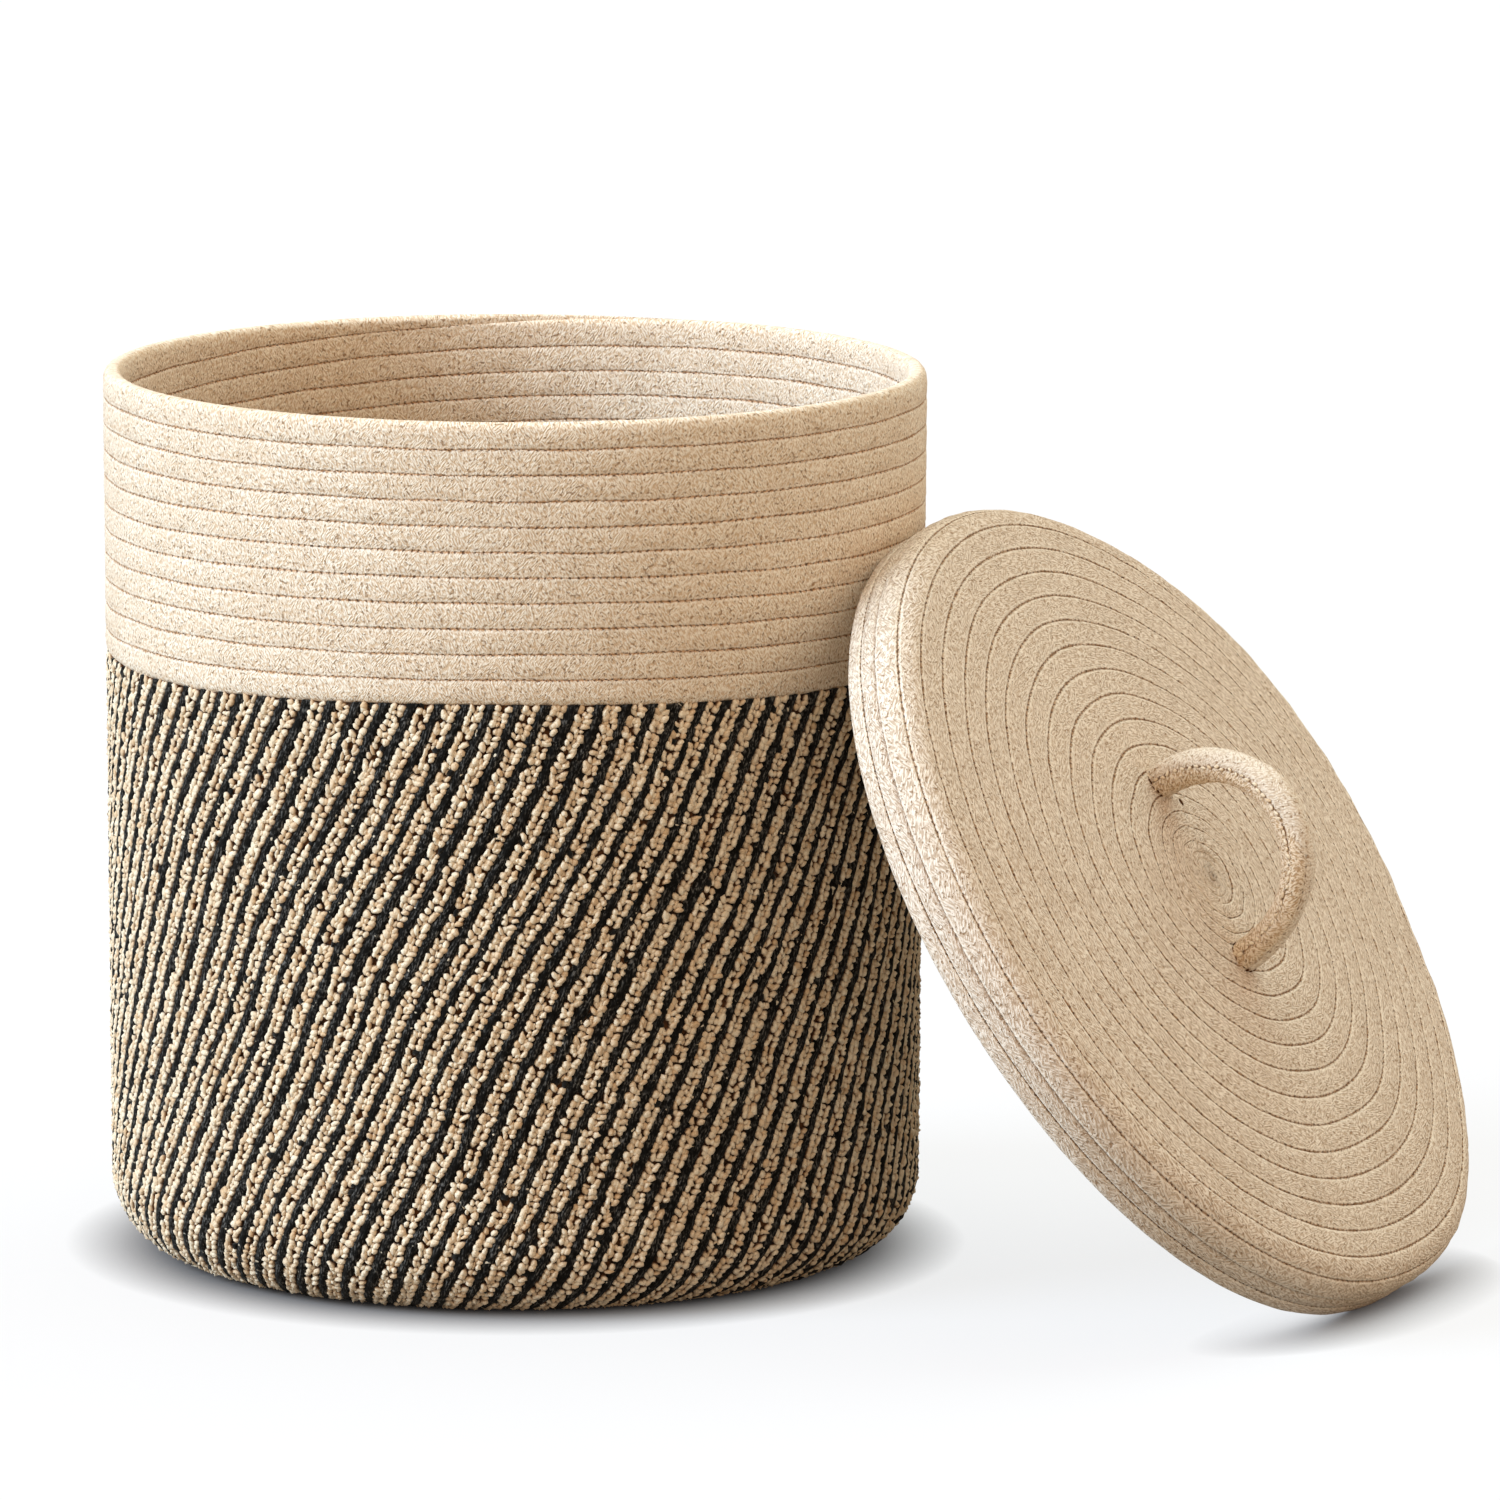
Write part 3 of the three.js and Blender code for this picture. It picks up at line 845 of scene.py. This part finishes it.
topSlope, domeRadius = lidShape()
topLength = domeRadius * topSlope
outerTurns = math.ceil((topLength - lid["middleTurns"] * lid["middleRow"]) / lid["topRow"])
middleTurns = lid["middleTurns"] + lid["innerTurns"] * (1 - lid["innerRow"] / lid["middleRow"])
spiralTurns = round(middleTurns) + outerTurns
seamDistance = topLength + lid["shoulderRows"] * lid["sideRow"]
lidLength = seamDistance + lid["bandRows"] * lid["sideRow"]
shoulderLength = lid["shoulder"] * (math.pi / 2 - topSlope)
sideLength = lidLength - topLength - shoulderLength
domeDrop = domeRadius * (1 - math.cos(topSlope)) + lid["shoulder"] * math.cos(topSlope)
apexHeight = domeDrop + sideLength - lid["bandRows"] * lid["sideRow"] / 2
lidLine = Meridian(0, apexHeight, 0)
lidLine.add(topLength, 1 / domeRadius).add(shoulderLength, 1 / lid["shoulder"]).add(sideLength, 0)


def topEdge(turns):
    level = smooth((turns - lid["evenTurns"]) / (spiralTurns - lid["evenTurns"]))
    rows = turns + (levelRows(turns) - turns) * level - spiralTurns
    outward = np.maximum(rows, -outerTurns) * lid["topRow"]
    outward = np.where(rows < 0, outward, rows * lid["sideRow"])
    inward = np.maximum(round(middleTurns) - turns, 0) * lid["middleRow"]
    inward -= np.maximum(lid["innerTurns"] - turns, 0) * (lid["middleRow"] - lid["innerRow"])
    return np.clip(topLength + outward - inward, coil["start"], seamDistance)


def bandEdge(turns):
    return np.clip(seamDistance + levelRows(turns) * lid["sideRow"], seamDistance, lidLength)


def ropeTurns(edge, last):
    # Turns at even steps along the rope
    fine = np.arange(last * lid["fineSteps"] + 1) / lid["fineSteps"]
    radius = np.maximum(lidLine.at((edge(fine) + edge(fine - 1)) / 2)[0], lid["leastRadius"])
    gone = np.concatenate([[0], np.cumsum(radius[1:] * 2 * math.pi / lid["fineSteps"])])
    return np.interp(np.arange(0, gone[-1], lid["step"]), gone, fine)


def lidRings(distance, angle):
    # The rings of the top are not quite round
    uneven = wander(lid["seed"], angle, distance, lid["uneven"])
    uneven = uneven * smooth(distance / lid["settled"])
    return distance + uneven * smooth((topLength - distance) / lid["settled"])


def putOnLid(piece, node=None):
    places = np.array([v.co for v in piece.data.vertices])
    places[:, 1] *= 1 + lid["stretch"] * (places[:, 1] > 0)
    angle = np.degrees(np.arctan2(places[:, 1], places[:, 0]))
    for middle, spread, height in lid["bulges"]:
        bulge = height / lidRadius * np.exp(-((angle - middle) / spread) ** 2)
        places[:, :2] *= 1 + bulge[:, None]
    piece.data.vertices.foreach_set("co", places.astype(np.float32).ravel())
    piece.data.transform(lidPlace)
    standOnFloor(piece)
    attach(piece, "lid")
    if node:
        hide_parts(node)


def makeLid(look):
    turns = ropeTurns(topEdge, spiralTurns + look["shoulderRows"] + 1)
    top = windRope("lid_top_rope", lidLine, topEdge, turns, topRope, lidCotton, lidRings)
    putOnLid(top, "lid_top")
    turns = ropeTurns(bandEdge, look["bandRows"] + 1)
    band = windRope("lid_band_rope", lidLine, bandEdge, turns, bandRope, lidCotton)
    putOnLid(band, "lid_band")


makeLid(lid)
print("lid wound")

handle = {
    "rope": 0.0164,
    "reach": 0.0487,
    "short": 0.0028,  # how much nearer the middle the lower foot is
    "rise": 0.0588,
    "sunk": 0.04,  # radians that each end goes on into the lid
    "turn": -9,
    "lean": 8.9,
    "place": (-0.0027, -0.0074),  # of its middle, from the lid's axis
    "sides": 40,
    "steps": 150,
    "seamAt": 88,  # degrees round the rope from its outer side
    "grooveAt": 26,
    "skinEnds": (36, 0.4),  # over how many degrees the smooth outer skin ends, and how far in
    "seamDepth": 0.0006,
    "seamWidth": 7,
    "grooveWidth": 5,
    "groove": 0.8,
    "lowerLeg": (1.7, 0.7),  # radians up the arch where it ends, and over which it fades
    "shortTo": 1.3,
    "arc": 0.05,  # metres along the rope for a radian of the arch, nearly
    "wavy": [(5, 2, 20)],
    "puff": [(0.0005, 3, 8), (0.0004, 5, 30)],
    "lumps": [(0.0004, 9, 120)],
    "lumpsFrom": 30,  # degrees inside the seam
    "stitch": 0.0040,
    "stitchEnds": 0.05,
    "stitchAstray": 3,
    "archLonger": 1.1,  # than a half circle
    "stitchSize": (0.0010, 0.0016, 0.0009),
    "stitchTint": (0.8, 0.2),
    "footKnots": 11,
    "footStitched": (-150, 60),  # degrees round the rope, from and to
    "footDown": 0.015,
    "footSize": (0.0013, 0.0006, 0.0005),
    "holeShape": (1, 0.55, 0.3),
    "sewnDown": 0.0002,
    "turnAstray": 0.03,
    "sizeAstray": 0.12,
    "angleAstray": 0.008,
    # Dark blobs on the lid beside the feet, painted shade of the needle holes there: place and
    # half length
    "holeShade": (
        (-0.0379, 0.0099, 0.0022), (-0.0526, -0.0070, 0.0018), (-0.0500, 0.0010, 0.0026),
        (0.0397, -0.0190, 0.0020), (0.0425, -0.0186, 0.0022), (0.0448, -0.0182, 0.0018),
    ),
    "seed": 71,
}
footSlope = math.asin(handle["reach"] / domeRadius)
footHeight = (domeRadius + half + hair) * math.cos(footSlope) - domeRadius + apexHeight
handleTurn = Matrix.Rotation(math.radians(handle["turn"]), 4, "Z")
handleTurn = handleTurn @ Matrix.Rotation(math.radians(handle["lean"]), 4, "X")
handlePlace = Matrix.Translation((*handle["place"], footHeight)) @ handleTurn


def alongHandle(angle, around, radius):
    # A place on the arch: angle goes from foot to foot, and around from the rope's outer side
    share = (np.sin(angle) + math.sin(footSlope)) / (1 + math.sin(footSlope))
    short = handle["short"] * smooth(1 - angle / handle["shortTo"])
    out = handle["reach"] - short + radius * np.cos(around)
    up = handle["rise"] * share + radius * np.cos(around) * np.sin(angle)
    return np.stack([out * np.cos(angle), radius * np.sin(around) + 0 * angle, up], -1)


def seamWaves(angle):  # degrees by which the handle's seam wanders round the rope
    return wander(handle["seed"] + 2, angle * 3, angle * handle["arc"], handle["wavy"])


def makeHandle(look):
    end = footSlope + look["sunk"]
    angle = np.linspace(-end, math.pi + end, look["steps"] + 1)[:, None]
    around = np.arange(look["sides"])[None, :] / look["sides"] * 2 * math.pi
    fromOuter = np.abs((around + math.pi) % (2 * math.pi) - math.pi)  # 0 outside, pi inside
    wavy = seamWaves(angle)
    aside = np.degrees(fromOuter) - look["seamAt"] - wavy
    legEnd, legFade = look["lowerLeg"]
    lower = smooth((legEnd - angle) / legFade)  # 1 on the leg nearer the floor
    fromGroove = (np.degrees(fromOuter) - look["grooveAt"] - wavy) / look["grooveWidth"]
    groove = np.exp(-fromGroove ** 2) * lower
    seam = np.exp(-(aside / look["seamWidth"]) ** 2) + look["groove"] * groove
    puff = wander(look["seed"], around, angle * look["arc"], look["puff"])
    lumpy = wander(look["seed"] + 1, around, angle * look["arc"], look["lumps"])
    lumpy = lumpy * smooth(aside / look["lumpsFrom"])
    radius = look["rope"] / 2 + puff + lumpy - seam * look["seamDepth"]
    places = alongHandle(angle, around, radius)
    softly, shift = look["skinEnds"]
    values = {
        "level": seam,
        "along": angle * look["reach"] + 0 * around,
        "rise": fromOuter * look["rope"] / 2 + 0 * angle,
        "fuzz": smooth((aside + lower * (look["seamAt"] - look["grooveAt"])) / softly + shift),
    }
    piece = ropeMesh("loop_handle_rope", places, handleCotton, values)
    piece.data.transform(handlePlace)
    putOnLid(piece, "loop_handle")


def sewOnHandle(name, angle, around, sizes, tint, seed, material=knottedYarn):
    # Small stitches along the rope's surface, each a little askew
    random = np.random.default_rng(seed)
    count = len(angle)
    radius = handle["rope"] / 2 - handle["sewnDown"]
    here = alongHandle(angle, around, radius)
    askew = around + random.normal(size=count) * handle["turnAstray"]
    ahead = alongHandle(angle + 0.01, askew, radius) - here
    out = alongHandle(angle, around, radius + 0.001) - here
    ahead, out = (way / np.linalg.norm(way, axis=-1, keepdims=True) for way in (ahead, out))
    across = np.cross(ahead, out)
    axes = np.stack([across, ahead, np.cross(across, ahead)], 1)
    sizes = np.array([sizes]) * (1 + random.normal(size=(count, 3)) * handle["sizeAstray"])
    piece = scatter(name, oneKnot(), here, axes, sizes, tint, seed + 1, material)
    piece.data.transform(handlePlace)
    putOnLid(piece)


def makeStitches(look):
    random = np.random.default_rng(look["seed"] + 5)
    count = int(math.pi * look["reach"] * look["archLonger"] / look["stitch"])
    ends = look["stitchEnds"]
    places = np.meshgrid(np.linspace(ends, math.pi - ends, count), (-1, 1))
    angle, side = (place.ravel() for place in places)
    angle = angle + random.normal(size=len(angle)) * look["angleAstray"]
    astray = random.normal(size=len(angle)) * look["stitchAstray"]
    around = side * np.radians(look["seamAt"] + seamWaves(angle) + astray)
    usual, differs = look["stitchTint"]
    tint = np.clip(usual + random.normal(size=len(angle)) * differs, 0, 1)
    sewOnHandle("handle_stitches", angle, around, look["stitchSize"], tint, look["seed"] + 6)
    # Dark stitches where the feet are sewn down
    around = np.radians(np.linspace(*look["footStitched"], look["footKnots"]))
    down = look["footDown"]
    angle = np.concatenate([0 * around - down, 0 * around + math.pi + down])
    around = np.concatenate([around, around])
    angle = angle + random.normal(size=len(angle)) * look["angleAstray"]
    size, seed = look["footSize"], look["seed"] + 8
    sewOnHandle("handle_foot_stitches", angle, around, size, angle * 0, seed, darkThread)


def makeHoleShades(look):
    # Dark blobs standing in for the shade in the needle holes beside the feet
    x, y, length = np.array(look["holeShade"]).T
    distance, angle = np.hypot(x, y), np.arctan2(y, x)
    centres = point(lidLine, distance, half + hair, angle)
    axes = np.tile(np.eye(3), (len(x), 1, 1))
    sizes = length[:, None] * np.array([look["holeShape"]])
    seed = look["seed"] + 20
    name, shape = "handle_hole_shades", oneKnot()
    piece = scatter(name, shape, centres, axes, sizes, x * 0, seed, darkThread)
    putOnLid(piece)


makeHandle(handle)
makeStitches(handle)
makeHoleShades(handle)
print("handle made")

floorRope = {
    "stepsPerTurn": 180,
    "startAngle": 0,
    "square": 5,
    "lap": 0.03,
    "seed": 81,
    "blunt": True,
}


def makeFloorCoil(look):
    low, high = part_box("floor")
    radius = (high.x - low.x) / 2
    flat = Meridian(0, half, 0)
    flat.add(radius, 0)

    def edge(turns):
        return np.clip(turns * rope["row"], coil["start"], radius)

    last = radius / rope["row"] + 1
    turns = np.linspace(0, last, int(last * look["stepsPerTurn"]))
    piece = windRope("floor_coil", flat, edge, turns, look, stripedFelt)
    standOnFloor(piece)
    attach(piece, "basket")
    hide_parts("floor")


makeFloorCoil(floorRope)

studio = {
    "sky": (1.0, 0.80, 0.65),
    "skyLevel": 0.90,
    # Each lamp: colour, level, where from (right, towards the camera, up), degrees across
    "key": ((0.73, 1.0, 1.35), 3.45, (-0.84, 0.27, 0.47), 28),
    "top": ((0.61, 1.0, 1.14), 1.31, (0.25, -0.35, 0.90), 60),
    "floorSize": 60,
    "floorWhite": 0.77,
    "floorGlow": (1.01, 1.03, 1.045),  # the least bit blue, against the paint's warmth
    "floorPaint": (0.70, 0.63, 0.58),
    "floorBounce": (0.33, 0.305, 0.27),  # the floor's paint as the object sees it
    "contact": 0.035,  # how far out from the object the glow is held back
    "contactDepth": 1.2,
}


def makeSky(look):  # a camera ray, and a glossy or clear piece, see white in place of the sky
    world = bpy.data.worlds.new("studio")
    scene.world = world
    sky = Shader(world)
    seen = ("Is Camera Ray", "Is Glossy Ray", "Is Transmission Ray")
    first, second, third = (sky.node("ShaderNodeLightPath", output=ray) for ray in seen)
    white = first.maths("MAXIMUM", second).maths("MAXIMUM", third)
    inputs = {"Color": (*look["sky"], 1), "Strength": look["skyLevel"]}
    light = sky.node("ShaderNodeBackground", {}, inputs)
    shown = sky.node("ShaderNodeBackground", {}, {"Color": (1, 1, 1, 1)})
    sky.show(sky.node("ShaderNodeMixShader", {}, {0: white, 1: light, 2: shown}))


def makeLamps(look):
    turn = math.radians(photo["turn"])
    right = Vector((math.cos(turn), math.sin(turn), 0))
    towards = Vector((math.sin(turn), -math.cos(turn), 0))
    for colour, level, place, spread in (look["key"], look["top"]):
        source = right * place[0] + towards * place[1] + Vector((0, 0, place[2]))
        bpy.ops.object.light_add(type="SUN", location=source * 3)
        lamp = bpy.context.object
        lamp.data.energy = level
        lamp.data.color = colour
        lamp.data.angle = math.radians(spread)
        lamp.rotation_euler = (-source).to_track_quat("-Z", "Y").to_euler()


def makeGround(look):
    # The camera sees pale paint that keeps the shadows, whitened by a glow that fades close to
    # the object. The object itself is lit by a greyer floor.
    bpy.ops.mesh.primitive_plane_add(size=look["floorSize"], location=(0, 0, 0))
    ground = bpy.context.object
    ground.name = "studio_floor"
    floor = newMaterial("studio_floor")
    toCamera = floor.node("ShaderNodeLightPath", output="Is Camera Ray")
    bounce = floor.node("ShaderNodeBsdfDiffuse", {}, {"Color": (*look["floorBounce"], 1)})
    paint = floor.node("ShaderNodeBsdfDiffuse", {}, {"Color": (*look["floorPaint"], 1)})
    painted = floor.node("ShaderNodeMixShader", {}, {0: toCamera, 1: bounce, 2: paint})
    contact = {"Distance": look["contact"]}
    opening = floor.node("ShaderNodeAmbientOcclusion", {}, contact, output="AO")
    opening = opening.maths("POWER", look["contactDepth"])
    colour = floor.mix(opening, (0, 0, 0, 1), (*look["floorGlow"], 1))
    glow = floor.node("ShaderNodeEmission", {}, {"Color": colour})
    share = toCamera * look["floorWhite"]
    shown = floor.node("ShaderNodeMixShader", {}, {0: share, 1: painted, 2: glow})
    ground.data.materials.append(floor.show(shown))


makeSky(studio)
makeLamps(studio)
makeGround(studio)
print("studio set")
